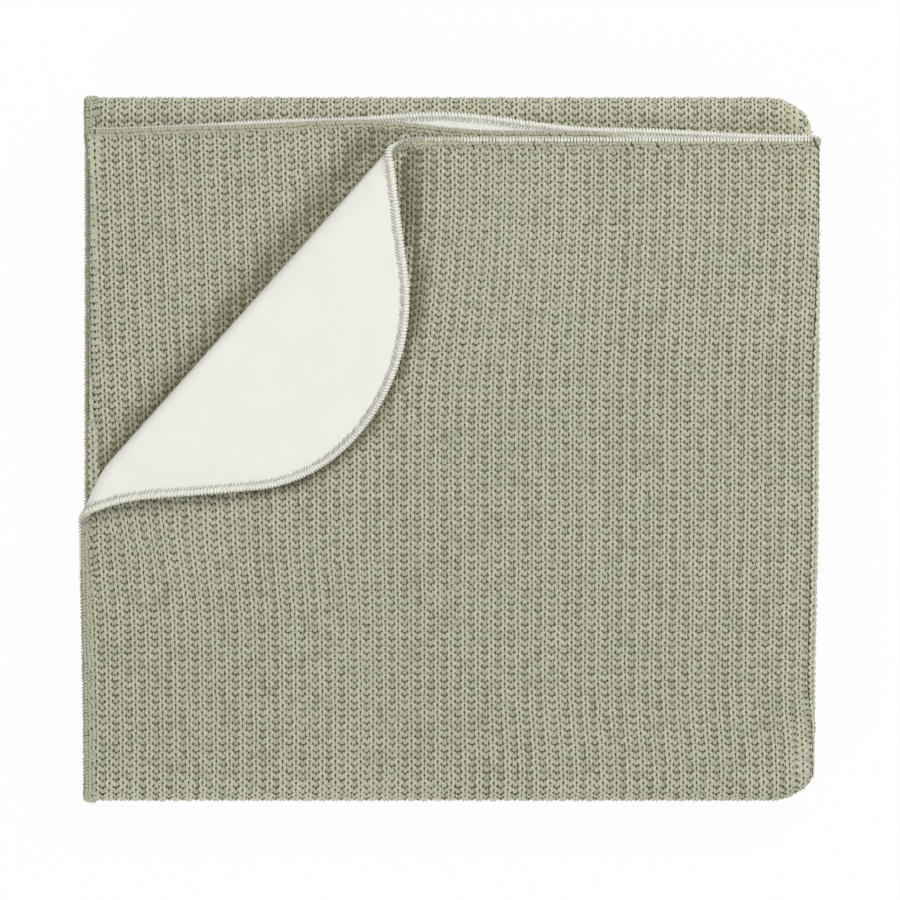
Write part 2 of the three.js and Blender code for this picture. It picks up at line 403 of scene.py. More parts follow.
shadedGroundLook = {
    "dark": linear(127, 124, 97),
    "light": linear(143, 141, 111),
    "patches": 400,
    "patchDetail": 2,
    "grain": 900,
    "grainStrength": 0.5,
    "grainDepth": 0.5 * mm,
    "roughness": 0.95,
    "sheen": 0,
}
liningLook = {
    "dark": linear(236, 235, 227),
    "light": linear(243, 242, 235),
    "patches": 60,
    "patchDetail": 3,
    "grain": 1500,
    "grainStrength": 0.25,
    "grainDepth": 0.2 * mm,
    "roughness": 0.85,
    "sheen": 0.1,
}
whiteLook = {
    "dark": linear(226, 224, 210),
    "light": linear(248, 247, 240),
    "patches": 700,
    "patchDetail": 2,
    "grain": 3500,
    "grainStrength": 0.3,
    "grainDepth": 0.2 * mm,
    "roughness": 0.7,
    "sheen": 0.1,
}
oliveLook = {
    "dark": linear(178, 177, 153),
    "light": linear(192, 191, 168),
    "patches": 500,
    "patchDetail": 2,
    "grain": 3500,
    "grainStrength": 0.3,
    "grainDepth": 0.2 * mm,
    "roughness": 0.85,
    "sheen": 0.1,
}
markLook = {"colour": linear(166, 167, 151), "roughness": 0.85}


def mottledMaterial(name, look, place):
    # two near colours in soft patches, and a fine grain
    material, tree, shader = newMaterial(name, look["roughness"], look["sheen"])
    where = place(tree)
    patches = noise(tree, look["patches"], look["patchDetail"], where)
    tree.links.new(mixColour(tree, patches, look["dark"], look["light"]), shader.inputs["Base Color"])
    addBump(tree, shader, noise(tree, look["grain"], 2, where), look["grainStrength"], look["grainDepth"])
    return material


yarn = yarnMaterial("melange yarn", yarnLook)
shadedGroundMaterial = mottledMaterial("knit ground painted shade", shadedGroundLook, onObject)
liningMaterial = mottledMaterial("jersey lining", liningLook, onCloth)
whiteThread = mottledMaterial("white thread", whiteLook, onObject)
oliveThread = mottledMaterial("olive thread", oliveLook, onObject)
markThread, _, shader = newMaterial("mark thread", markLook["roughness"])
shader.inputs["Base Color"].default_value = markLook["colour"]
print("materials made")

# ---- the two sheets of cloth

sheetSteps = {"inner": 14, "leftBend": 8, "middle": 14, "soft": 4, "rightBend": 10, "outer": 12, "turned": 20}
rowSteps = {"turned": 24, "front": 9, "bend": 12, "back": 14, "tail": 7}
sheetCut = {"turnedLength": 160, "turnedRows": 190, "rollRows": 200, "rollLines": 12, "cornerChords": 14}


def clothColumns():
    soft = rightBendX - softStartX
    return spread(
        (innerLength, sheetSteps["inner"]),
        (leftBend, sheetSteps["leftBend"]),
        (middleLength - soft, sheetSteps["middle"]),
        (soft, sheetSteps["soft"]),
        (rightBend, sheetSteps["rightBend"]),
        (soft, sheetSteps["soft"]),
        (outerLength - soft - sheetCut["turnedLength"], sheetSteps["outer"]),
        (sheetCut["turnedLength"], sheetSteps["turned"]),
    )


def clothRows(u):
    front, bend, back = (float(x) for x in lengthwise(np.array(u)))
    return spread(
        (sheetCut["turnedRows"], rowSteps["turned"]),
        (front - sheetCut["turnedRows"], rowSteps["front"]),
        (bend, rowSteps["bend"]),
        (back, rowSteps["back"]),
        (bend, rowSteps["bend"]),
        (cloth["length"] - front - 2 * bend - back, rowSteps["tail"]),
    )


def cutAlong(flat, faces, place, normal, **clear):
    edges = [edge for face in faces for edge in face.edges]
    verts = [vert for face in faces for vert in face.verts]
    parts = list(dict.fromkeys([*faces, *edges, *verts]))  # each once, always in the same order
    bmesh.ops.bisect_plane(flat, geom=parts, dist=0.05, plane_co=(*place, 0), plane_no=(*normal, 0), **clear)


def flatCloth():
    # the cut cloth laid flat, with lines along every bend and round the roll of the turned corner
    flat = bmesh.new()
    columns = [[flat.verts.new((u, v, 0)) for v in clothRows(u)] for u in clothColumns()]
    for left, right in zip(columns, columns[1:]):
        for k in range(len(left) - 1):
            flat.faces.new((left[k], right[k], right[k + 1], left[k + 1]))
    for i in range(sheetCut["rollLines"] + 1):
        past = turn["radius"] * (math.pi * i / sheetCut["rollLines"] - 1)
        x, y = turn["fromX"] + past * turnNormalX, turn["fromY"] + past * turnNormalY
        middles = [(face, face.calc_center_median()) for face in flat.faces]
        corner = [face for face, at in middles if at.x > outerStart and at.y < sheetCut["rollRows"]]
        cutAlong(flat, corner, (outerStart + rightBendX - x, outerFrontY - y), (-turnNormalX, -turnNormalY))
    radius = cloth["cornerRadius"]
    for centreU, signU in ((radius, -1), (cloth["width"] - radius, 1)):
        for centreV, signV in ((radius, -1), (cloth["length"] - radius, 1)):
            for i in range(sheetCut["cornerChords"]):
                angle = math.pi / 2 * (i + 0.5) / sheetCut["cornerChords"]
                outU, outV = signU * math.cos(angle), signV * math.sin(angle)
                place = (centreU + radius * outU, centreV + radius * outV)
                cutAlong(flat, list(flat.faces), place, (outU, outV), clear_outer=True)
    bmesh.ops.triangulate(flat, faces=flat.faces[:])
    flat.verts.index_update()
    places = np.array([vert.co[:2] for vert in flat.verts])
    faces = [[vert.index for vert in face.verts] for face in flat.faces]
    rim = []
    for edge in flat.edges:
        if edge.is_boundary:
            loop = edge.link_loops[0]
            rim.append((loop.vert.index, loop.link_loop_next.vert.index))
    flat.free()
    return places, faces, rim


def sheetPiece(name, flat, low, high, material):
    places, faces, rim = flat
    count = len(places)
    points = np.concatenate([foldedPoint(places[:, 0], places[:, 1], height) for height in (high, low)])
    polygons = faces + [[i + count for i in reversed(face)] for face in faces]
    polygons += [[b, a, a + count, b + count] for a, b in rim]
    mesh = bpy.data.meshes.new(name)
    mesh.from_pydata(points.tolist(), [], polygons)
    layer = mesh.uv_layers.new(name="cloth")
    corners = np.zeros(len(mesh.loops), np.int32)
    mesh.loops.foreach_get("vertex_index", corners)
    layer.uv.foreach_set("vector", (places[corners % count] * mm).astype(np.float32).ravel())
    mesh.polygons.foreach_set("use_smooth", [True] * len(mesh.polygons))
    mesh.set_sharp_from_angle(angle=math.radians(60))
    mesh.materials.append(material)
    return addObject(name, mesh)


flat = flatCloth()
knitGround = sheetPiece("knitGround", flat, liningTop + cloth["layerGap"], 0.1, shadedGroundMaterial)
lining = sheetPiece("jerseyLining", flat, -halfPly, liningTop, liningMaterial)
print("sheets made:", len(knitGround.data.polygons), "faces each")

# ---- the shapes that repeat: one knitted cell and one overlock stitch


def strand(shape, path, widths, heights, sides):
    # a closed strand of yarn: rings along the path, a single point at each end
    path = np.array(path, float)
    ends = [shape.verts.new(path[0] * mm), shape.verts.new(path[-1] * mm)]
    rings = []
    for i in range(1, len(path) - 1):
        along = path[i + 1] - path[i - 1]
        along /= np.linalg.norm(along)
        across = np.cross(along, (0, 0, 1))
        across = across / max(np.linalg.norm(across), 1e-6)
        up = np.cross(across, along)
        ring = []
        for k in range(sides):
            angle = 2 * math.pi * k / sides
            out = across * math.cos(angle) * widths[i - 1] / 2 + up * math.sin(angle) * heights[i - 1] / 2
            ring.append(shape.verts.new((path[i] + out) * mm))
        rings.append(ring)
    for k in range(sides):
        n = (k + 1) % sides
        shape.faces.new((ends[0], rings[0][k], rings[0][n]))
        shape.faces.new((ends[1], rings[-1][n], rings[-1][k]))
        for first, second in zip(rings, rings[1:]):
            shape.faces.new((first[k], second[k], second[n], first[n]))
    for k in (0, sides // 2):
        side = [ends[0], *(ring[k] for ring in rings), ends[1]]
        for first, second in zip(side, side[1:]):
            shape.edges.get((first, second)).smooth = False


def scale(shape, rim, ridge, under):
    # a closed flat scale: a sharp rim, two ridge points above it and one point below
    edge = [shape.verts.new((x * mm, y * mm, z * mm)) for x, y, z in rim]
    top = [shape.verts.new((x * mm, y * mm, z * mm)) for x, y, z in ridge]
    low = shape.verts.new([value * mm for value in under])
    near = [min((0, 1), key=lambda i: math.dist(rim[k][:2], ridge[i][:2])) for k in range(len(rim))]
    for k in range(len(rim)):
        n = (k + 1) % len(rim)
        shape.faces.new((top[near[k]], edge[n], edge[k]))
        shape.faces.new((low, edge[k], edge[n]))
        shape.edges.get((edge[k], edge[n])).smooth = False
        if near[k] != near[n]:
            shape.faces.new((top[near[k]], top[near[n]], edge[n]))


def shapeObject(name, build, collection):
    shape = bmesh.new()
    build(shape)
    bmesh.ops.recalc_face_normals(shape, faces=shape.faces[:])
    mesh = bpy.data.meshes.new(name)
    shape.to_mesh(mesh)
    shape.free()
    collection.objects.link(bpy.data.objects.new(name, mesh))


def shapeCollection(name, builds):
    # the letter that starts a shape's name sets its number in the placing tree
    collection = bpy.data.collections.new(name)
    for label, build in builds.items():
        shapeObject(label, build, collection)
    return collection


knitCell = {
    "ribPitch": 6.25,
    "coursePitch": 3.25,
    "firstCourse": 0.83,
    "edgeBand": 3.9,
    "innerFirstCourse": 1.17,
    "innerEdgeBand": 3.5,
    "legTop": 1.6,
    "beadTop": 1.45,
    "plainBeadWidth": 3.0,
    "plainShapes": 2,  # the number of the first plain shape
    "lift": 0.15,
    "surface": 0.6,  # height above the ply's middle at which the cloth's stretch is measured
    "widening": 1.3,
    "widths": (0.85, 1.6),
    "lengths": (0.85, 1.2),
    "flattening": 2.3,
    "heights": (0.55, 1),
    "footRise": 0.35,  # how much of what a stitch loses in height its foot rises
    "legTone": 0.01,
    # the beads are painted darker than the legs: painted shade of the recessed purl column
    "beadShade": 0.27,
    "toneUnevenness": 0.08,
    "ribUnevenness": 0.03,
    "placeUnevenness": 0.1,
    "placeSeed": 5,
    "turnUnevenness": 0.09,
    "sizeUnevenness": 0.08,
    "seed": 11,
}


def buildLegs(shape):
    # the two legs of a knit stitch: they close above a small opening and spread to the beads on either side
    top = knitCell["legTop"]
    for side in (-1, 1):
        rim = [
            (-0.08, 1.75, 0.4),
            (-0.08, 1.2, 0.75),
            (0.36, 0.8, 0.7),
            (0.38, 0.05, 0.6),
            (0.04, -0.5, 0.5),
            (0.2, -2.1, 0.4),
            (1.25, -1.95, 0.4),
            (1.35, -1.0, 0.5),
            (1.8, -0.5, 0.5),
            (2.4, 0.3, 0.4),
            (2.1, 0.95, 0.3),
            (0.7, 2.45, 0.3),
        ]
        rim = [(side * x, y, z) for x, y, z in rim]
        scale(shape, rim, [(side * 0.7, 1.15, 0.95 * top), (side * 0.95, -0.6, top)], (side * 0.8, 0.0, 0.0))


def buildBead(shape):
    # the lobe of a purl stitch, its right side fuller, with an opening in the upper edge
    top = knitCell["beadTop"]
    rim = [
        (0.55, 0.4, 0.5),
        (0.65, 0.9, 0.55),
        (0.68, 1.6, 0.65),
        (1.1, 1.35, 0.45),
        (0.8, 0.4, 0.4),
        (0.85, 0.0, 0.45),
        (1.2, -0.75, 0.5),
        (0.9, -1.35, 0.45),
        (0.4, -1.65, 0.45),
        (-0.4, -1.7, 0.45),
        (-0.8, -1.75, 0.45),
        (-1.05, -1.4, 0.45),
        (-1.1, -0.9, 0.5),
        (-1.2, 0.4, 0.4),
        (-1.1, 1.35, 0.45),
        (-0.68, 1.6, 0.65),
        (-0.65, 0.9, 0.55),
        (-0.55, 0.4, 0.5),
    ]
    scale(shape, rim, [(0.0, 0.05, 0.85 * top), (0.05, -0.85, top)], (0, -0.4, 0.0))


def buildPlainLegs(shape):
    for side in (-1, 1):
        path = [(0.3, 2.2, 0.4), (0.8, -0.1, 1.1), (1.4, -2.4, 0.3)]
        strand(shape, [(side * x, y, z) for x, y, z in path], (1.7,), (1.35,), 4)


def buildPlainBead(shape):
    path = [(0, 1.5, 0.3), (0, -0.6, 0.75), (0, -2.2, 0.7)]
    strand(shape, path, (knitCell["plainBeadWidth"],), (1.0,), 6)


cellShapes = shapeCollection(
    "knit shapes",
    {
        "a legs": buildLegs,
        "b bead": buildBead,
        "c plain legs": buildPlainLegs,
        "d plain bead": buildPlainBead,
    },
)

# ---- Geometry Nodes: places a shape on every point, along the cloth


def placingTree():
    tree = bpy.data.node_groups.new("stitches on cloth", "GeometryNodeTree")
    face = tree.interface
    face.new_socket("Geometry", in_out="INPUT", socket_type="NodeSocketGeometry")
    face.new_socket("Shapes", in_out="INPUT", socket_type="NodeSocketCollection")
    amounts = {"Width": 1, "Length": 1, "Height": 1, "Turn Unevenness": 0, "Size Unevenness": 0}
    for label, start in amounts.items():
        face.new_socket(label, in_out="INPUT", socket_type="NodeSocketFloat").default_value = start
    face.new_socket("Seed", in_out="INPUT", socket_type="NodeSocketInt")
    face.new_socket("Finish", in_out="INPUT", socket_type="NodeSocketMaterial")
    face.new_socket("Geometry", in_out="OUTPUT", socket_type="NodeSocketGeometry")

    def add(kind, **settings):
        node = tree.nodes.new(kind)
        for key, value in settings.items():
            setattr(node, key, value)
        return node

    def join(source, target):
        tree.links.new(source, target)

    def attribute(name, kind):
        node = add("GeometryNodeInputNamedAttribute", data_type=kind)
        node.inputs["Name"].default_value = name
        return node.outputs["Attribute"]

    def vectorMath(operation, first, second):
        node = add("ShaderNodeVectorMath", operation=operation)
        for socket, value in zip(node.inputs, (first, second)):
            if isinstance(value, tuple):
                socket.default_value = value
            else:
                join(value, socket)
        return node.outputs["Vector"]

    def uneven(amount, middle, seedStep):
        least, most = vectorMath("SUBTRACT", middle, amount), vectorMath("ADD", middle, amount)
        seed = add("ShaderNodeMath", operation="ADD")
        join(given.outputs["Seed"], seed.inputs[0])
        seed.inputs[1].default_value = seedStep
        node = add("FunctionNodeRandomValue", data_type="FLOAT_VECTOR")
        join(least, node.inputs["Min"])
        join(most, node.inputs["Max"])
        join(seed.outputs[0], node.inputs["Seed"])
        return node.outputs["Value"]

    given = add("NodeGroupInput")
    result = add("NodeGroupOutput")
    shapes = add("GeometryNodeCollectionInfo")
    join(given.outputs["Shapes"], shapes.inputs["Collection"])
    shapes.inputs["Separate Children"].default_value = True
    shapes.inputs["Reset Children"].default_value = True
    facing = add("FunctionNodeAxesToRotation", primary_axis="Z", secondary_axis="Y")
    join(attribute("clothNormal", "FLOAT_VECTOR"), facing.inputs[0])
    join(attribute("clothAlong", "FLOAT_VECTOR"), facing.inputs[1])
    wobble = add("FunctionNodeEulerToRotation")
    join(uneven(given.outputs["Turn Unevenness"], (0, 0, 0), 0), wobble.inputs[0])
    turned = add("FunctionNodeRotateRotation", rotation_space="LOCAL")
    join(facing.outputs[0], turned.inputs[0])
    join(wobble.outputs[0], turned.inputs[1])
    size = add("ShaderNodeCombineXYZ")
    for socket, label in zip(size.inputs, ("Width", "Length", "Height")):
        join(given.outputs[label], socket)
    stretched = vectorMath("MULTIPLY", size.outputs[0], attribute("clothStretch", "FLOAT_VECTOR"))
    scaled = vectorMath("MULTIPLY", stretched, uneven(given.outputs["Size Unevenness"], (1, 1, 1), 1))
    placed = add("GeometryNodeInstanceOnPoints")
    join(given.outputs["Geometry"], placed.inputs["Points"])
    join(shapes.outputs[0], placed.inputs["Instance"])
    placed.inputs["Pick Instance"].default_value = True
    join(attribute("shape", "INT"), placed.inputs["Instance Index"])
    join(turned.outputs[0], placed.inputs["Rotation"])
    join(scaled, placed.inputs["Scale"])
    real = add("GeometryNodeRealizeInstances")
    join(placed.outputs[0], real.inputs[0])
    shaded = add("GeometryNodeSetShadeSmooth")
    join(real.outputs[0], shaded.inputs[0])
    finished = add("GeometryNodeSetMaterial")
    join(shaded.outputs[0], finished.inputs[0])
    join(given.outputs["Finish"], finished.inputs["Material"])
    join(finished.outputs[0], result.inputs[0])
    return tree


placing = placingTree()


def stitchPiece(name, points, settings, shapes, finish):
    # points holds the place, normal, direction, stretch, shape and tone of every stitch
    mesh = bpy.data.meshes.new(name)
    mesh.from_pydata(points["place"].tolist(), [], [])
    for label, kind, field in (
        ("clothNormal", "FLOAT_VECTOR", "vector"),
        ("clothAlong", "FLOAT_VECTOR", "vector"),
        ("clothStretch", "FLOAT_VECTOR", "vector"),
        ("shape", "INT", "value"),
        ("tone", "FLOAT", "value"),
    ):
        layer = mesh.attributes.new(label, kind, "POINT")
        values = points[label].astype(np.int32 if kind == "INT" else np.float32)
        layer.data.foreach_set(field, values.ravel())
    piece = addObject(name, mesh)
    modifier = piece.modifiers.new("stitches", "NODES")
    modifier.node_group = placing
    values = {
        "Shapes": shapes,
        "Width": 1.0,
        "Length": 1.0,
        "Height": 1.0,
        "Turn Unevenness": settings["turnUnevenness"],
        "Size Unevenness": settings["sizeUnevenness"],
        "Seed": settings["seed"],
        "Finish": finish,
    }
    for item in placing.interface.items_tree:
        if item.in_out == "INPUT" and item.name in values:
            modifier[item.identifier] = values[item.name]
    graph = bpy.context.evaluated_depsgraph_get()
    placed = piece.evaluated_get(graph)
    made = bpy.data.meshes.new_from_object(placed, preserve_all_data_layers=True, depsgraph=graph)
    piece.modifiers.remove(modifier)
    piece.data = made
    made.name = name
    bpy.data.meshes.remove(mesh)
    for label in ("clothNormal", "clothAlong", "clothStretch", "shape"):
        if label in made.attributes:
            made.attributes.remove(made.attributes[label])
    triangles = sum(len(polygon.vertices) - 2 for polygon in made.polygons)
    print(name, "has", len(points["place"]), "stitches and", triangles, "triangles")
    return piece


# ---- the knitted cells

ribSway = {  # how far the ribs wander sideways on the front, and where each sway sets in
    "upper": 3.3,
    "upperFromY": 20,
    "upperRise": 110,
    "middle": 4.5,
    "middleX": -8,
    "middleWidth": 40,
    "lowerRight": 2.7,
    "lowerRightFrom": (-5, -105),
    "lowerRightRise": 50,
    "lowerLeft": 2.3,
    "lowerLeftFrom": (-10, -40),
    "lowerLeftRise": (60, 45),
    "innerSlope": 0.0375,
    "innerFromY": 134,
    "beforeFold": 20,
    "fade": 60,
}


def ribDrift(x, y):
    drift = ribSway["upper"] * smooth((y - ribSway["upperFromY"]) / ribSway["upperRise"])
    middle = np.exp(-(((x - ribSway["middleX"]) / ribSway["middleWidth"]) ** 2))
    drift = drift + ribSway["middle"] * smooth(y / ribSway["upperRise"]) * middle
    fromX, fromY = ribSway["lowerRightFrom"]
    rise = ribSway["lowerRightRise"]
    drift = drift + ribSway["lowerRight"] * smooth((x - fromX) / rise) * smooth((fromY - y) / rise)
    fromX, fromY = ribSway["lowerLeftFrom"]
    riseX, riseY = ribSway["lowerLeftRise"]
    return drift + ribSway["lowerLeft"] * smooth((fromY - y) / riseY) * smooth((fromX - x) / riseX)


def innerDrift(y):
    return (ribSway["innerFromY"] - y) * ribSway["innerSlope"]


def underCorner(x, y):
    # how deep a place on the front panel lies under the turned corner
    away = pastTurn(x, y)
    mirrored = -2 * away + (math.pi - 2) * turn["radius"]
    flatX, flatY = x + mirrored * turnNormalX, y + mirrored * turnNormalY
    depth = insideEdge(outerStart + rightBendX - flatX, outerFrontY - flatY)
    return np.where(away < 0, depth, -1)


def edgePath(spacing):
    # places round the cut edge, evenly spaced, with the direction into the cloth
    radius = cloth["cornerRadius"]
    halfU, halfV = cloth["width"] / 2 - radius, cloth["length"] / 2 - radius
    arc = math.pi / 2 * radius
    corners = [(halfU, halfV), (-halfU, halfV), (-halfU, -halfV), (halfU, -halfV)]
    # direction and length of the straight side before each corner
    sides = [(0, 1, 2 * halfV), (-1, 0, 2 * halfU), (0, -1, 2 * halfV), (1, 0, 2 * halfU)]
    total = 4 * (halfU + halfV + arc)
    count = int(total / spacing)
    path = []
    for i in range(count):
        rest = total * i / count
        k = 0
        while rest > sides[k][2] + arc:
            rest -= sides[k][2] + arc
            k += 1
        alongU, alongV, side = sides[k]
        back = max(side - rest, 0)
        angle = k * math.pi / 2 + max(rest - side, 0) / radius
        outU, outV = math.cos(angle), math.sin(angle)
        u = cloth["width"] / 2 + corners[k][0] + radius * outU - back * alongU
        v = cloth["length"] / 2 + corners[k][1] + radius * outV - back * alongV
        path.append((u, v, -outU, -outV))
    return np.array(path).T


paintedShade = {  # painted shade on the yarn beside the turned corner: along its free edge and behind its fold
    "rimSpacing": 2,
    "rimRows": 250,
    "rimPast": 3,
    "nearRows": 260,
    "nearX": 20,
    "edgeShade": 0.95,
    "edgeReach": 4.3,
    "narrower": 1.4,
    "narrowerFromY": 20,
    "wider": 3,
    "fainter": 0.2,
    "widerFromY": 95,
    "rise": 30,
    "tipX": -130,
    "tipFade": 80,
    "foldShade": 0.32,
    "foldStep": 5,
    "foldReach": 8.5,
}


def turnedRim():
    # where the free edge of the turned-back corner comes to lie
    u, v, _, _ = edgePath(paintedShade["rimSpacing"])
    x = placeAcross(u)[0]
    turned = (u > outerStart) & (v < paintedShade["rimRows"]) & (pastTurn(x, frontEnd(u) - v) > paintedShade["rimPast"])
    return foldedPoint(u[turned], v[turned], 0)[:, :2] / mm


def paintedCornerShade(u, v, x, y):
    # how much painted shade a place gets beside the turned corner, under its free edge or behind its fold
    shade = np.zeros(len(u))
    past = pastTurn(x, y)
    near = (u > outerStart) & (v < paintedShade["nearRows"]) & (past < 0) & (x < paintedShade["nearX"])
    nearX, nearY = x[near], y[near]
    away = np.linalg.norm(np.stack([nearX, nearY], 1)[:, None] - turnedRim()[None], axis=2).min(axis=1)
    middle = smooth((nearY - paintedShade["narrowerFromY"]) / paintedShade["rise"])
    upper = smooth((nearY - paintedShade["widerFromY"]) / paintedShade["rise"])
    reach = paintedShade["edgeReach"] - paintedShade["narrower"] * middle + paintedShade["wider"] * upper
    depth = paintedShade["edgeShade"] * smooth((nearX - paintedShade["tipX"]) / paintedShade["tipFade"])
    shade[near] = depth * (1 - paintedShade["fainter"] * upper) * np.exp(-((away / reach) ** 2))
    behind = (u < innerLength) & (past > 0)
    steps = past[behind] / paintedShade["foldStep"]
    beyond = np.maximum(past[behind] - 2 * paintedShade["foldStep"], 0)
    fading = np.exp(-((beyond / paintedShade["foldReach"]) ** 2))
    shade[behind] = paintedShade["foldShade"] * (1 + smooth(steps - 1)) * fading
    return shade


def cellPoints(u, v, shape, tone):
    # stitches lie wider and flatter where a fold stretches them
    step, surface = 0.4, knitCell["surface"]
    acrossCloth = (foldedPoint(u + step, v, surface) - foldedPoint(u - step, v, surface)) / (2 * step * mm)
    alongCloth = (foldedPoint(u, v + step, surface) - foldedPoint(u, v - step, surface)) / (2 * step * mm)
    widths = np.linalg.norm(acrossCloth, axis=1)
    lengths = np.linalg.norm(alongCloth, axis=1)
    normal = np.cross(acrossCloth, alongCloth)
    normal /= np.linalg.norm(normal, axis=1)[:, None]
    heights = np.clip(1 - knitCell["flattening"] * (np.maximum(widths, lengths) - 1), *knitCell["heights"])
    wide = np.clip(1 + knitCell["widening"] * (widths - 1), *knitCell["widths"])
    long = np.clip(lengths, *knitCell["lengths"])
    lift = knitCell["lift"] + knitCell["footRise"] * (1 - heights) * knitCell["beadTop"]
    return {
        "place": foldedPoint(u, v, lift),
        "clothNormal": normal,
        "clothAlong": -alongCloth / lengths[:, None],
        "clothStretch": np.stack([wide, long, heights], 1),
        "shape": shape,
        "tone": tone,
    }


def knittedCells():
    ribs = np.arange(int(cloth["width"] / knitCell["ribPitch"]) + 4)  # a few more, because the ribs sway
    courses = np.arange(int(cloth["length"] / knitCell["coursePitch"]) + 1)
    ribPlace, coursePlace = (a.ravel() for a in np.meshgrid(ribs, courses, indexing="ij"))
    chance = np.random.default_rng(knitCell["placeSeed"])
    ribTone = chance.normal(0, knitCell["ribUnevenness"], len(ribs))
    cells = []
    for bead in (0, 1):
        u = (ribPlace + 0.5 - 0.5 * bead) * knitCell["ribPitch"]
        onInner = u < middleStart
        firstCourse = np.where(onInner, knitCell["innerFirstCourse"], knitCell["firstCourse"])
        v = (coursePlace + firstCourse) * knitCell["coursePitch"]
        front = lengthwise(np.clip(u, 0, cloth["width"]))[0]
        x = placeAcross(np.clip(u, 0, cloth["width"]))[0]
        y = frontEnd(u) - v
        onOuter = u > outerStart - rightBend - ribSway["beforeFold"]
        fade = 1 - smooth((v - front) / ribSway["fade"])
        drift = np.where(onOuter, ribDrift(np.minimum(x, rightBendX), np.maximum(y, -endBendY)) * fade, 0)
        innerFade = 1 - smooth((u - middleStart) / ribSway["fade"])
        onInnerFront = (u < middleStart + ribSway["fade"]) & (v < front)
        u = u - np.where(onInnerFront, innerDrift(y) * innerFade, drift)
        # tone: painted shade on the bead column and beside the turned corner, plus random unevenness per rib
        # and per stitch
        tone = knitCell["legTone"] + knitCell["beadShade"] * bead + paintedCornerShade(u, v, x, y) + ribTone[ribPlace]
        tone = np.clip(tone + chance.normal(0, knitCell["toneUnevenness"], len(u)), 0, 1)
        inside = insideEdge(u, v) > np.where(onInner, knitCell["innerEdgeBand"], knitCell["edgeBand"])
        u = u + chance.normal(0, knitCell["placeUnevenness"], len(u))
        v = v + chance.normal(0, knitCell["placeUnevenness"], len(u))
        cells.append((u[inside], v[inside], np.full(inside.sum(), bead), tone[inside]))
    return [np.concatenate(parts) for parts in zip(*cells)]


ribRuns = {  # where each stretch of ribs ends
    "tightMargin": 3,
    "leftMargin": 4,
    "rightMargin": 3,
    "turnMargin": 2,
    "underCorner": 8,
    "turnedBand": 9,
    "tailRows": 18,
    "innerPast": 8,
    "innerRows": 190,
    "innerTopRows": 16,
    "frontSplitX": 30,
}

u, v, shape, tone = knittedCells()
# the tight left fold opens the ribs, so one more bead is put between them
tight = (u > innerLength - ribRuns["tightMargin"]) & (u < middleStart + ribRuns["tightMargin"])
u = np.append(u, u[tight] + knitCell["ribPitch"] / 4)
v = np.append(v, v[tight])
shape = np.append(shape, np.ones(tight.sum()))
tone = np.append(tone, tone[tight])
front, bend, back = lengthwise(u)
x = placeAcross(u)[0]
y = frontEnd(u) - v
past = pastTurn(x, y)
onFront = (v <= front) & (u >= outerStart)
turnedOver = onFront & (past > -ribRuns["turnMargin"])
hiddenBelow = onFront & ~turnedOver & (underCorner(x, y) > ribRuns["underCorner"])
keepFront = onFront & ~hiddenBelow & ~(turnedOver & (insideEdge(u, v) > ribRuns["turnedBand"]))
onSide = (u < outerStart) & (u > outerStart - rightBend - ribRuns["rightMargin"])
onLeft = (u > innerLength - ribRuns["leftMargin"]) & (u < middleStart + ribRuns["leftMargin"])
backStart = front + bend
tailStart = backStart + back + bend
onBottomFold = (u >= outerStart) & (v > front) & (v <= backStart)
onTopFold = (u >= outerStart) & (v > backStart + back) & (v <= tailStart + ribRuns["tailRows"])
onBack = (u >= outerStart) & (v > backStart) & (v <= backStart + back)
innerSeen = (past > -ribRuns["innerPast"]) & (v < ribRuns["innerRows"]) | (v < ribRuns["innerTopRows"])
onInner = (u <= innerLength - ribRuns["leftMargin"]) & (v < front) & innerSeen
parts = {
    "frontRibsRight": keepFront & (x > ribRuns["frontSplitX"]),
    "frontRibsLeft": keepFront & (x <= ribRuns["frontSplitX"]),
    "sideFoldRibs": onSide | onLeft,
    "endFoldRibs": onBottomFold | onTopFold,
    "innerPlyRibs": onInner,
    "undersideRibs": onBack,
}
stitchPieces = []
for name, chosen in parts.items():
    shapes = shape[chosen] + (knitCell["plainShapes"] if name == "undersideRibs" else 0)
    points = cellPoints(u[chosen], v[chosen], shapes, tone[chosen])
    stitchPieces.append(stitchPiece(name, points, knitCell, cellShapes, yarn))

# ---- the overlocked edge

overlock = {
    "spacing": 1.5,
    "threadWidth": 1.2,
    "turnUnevenness": 0.05,
    "sizeUnevenness": 0.08,
    "seed": 23,
    "tone": 0.4,
    "toneUnevenness": 0.2,
    "toneSeed": 8,
}
oliveOverlock = dict(overlock, turnUnevenness=0.12, sizeUnevenness=0.15)
edgeRuns = {  # where one kind of stitch takes over from another, and where the edge is hidden in the stack
    "topRows": 60,
    "topPastFold": 12,
    "tipColumns": 5,
    "tipRows": 120,
    "leftColumns": 20,
    "whiteRows": 200,
    "hiddenBand": 6,
    "hiddenX": 125,
    "hiddenRows": 60,
}


def buildLoop(shape, knitEnd):
    # round the edge from the lining to the knit, thin at first and then full
    w = overlock["threadWidth"]
    liningEnd = [(2.3, -0.4, -1.55), (1.7, -0.25, -1.8), (1.0, -0.1, -1.9)]
    path = [*liningEnd, (0.2, 0.1, -1.7), (-0.4, 0.25, -0.5), (0.05, 0.3, 0.85), *knitEnd]
    widths = [w, 1.2 * w, 1.2 * w, w, w, 1.1 * w][: len(path) - 2]
    strand(shape, path, widths, widths, 4)


def buildShortLoop(shape):
    buildLoop(shape, [(0.7, 0.35, 0.6)])


def buildLongLoop(shape):
    buildLoop(shape, [(1.3, 0.4, 1.25), (2.3, 0.5, 0.9)])


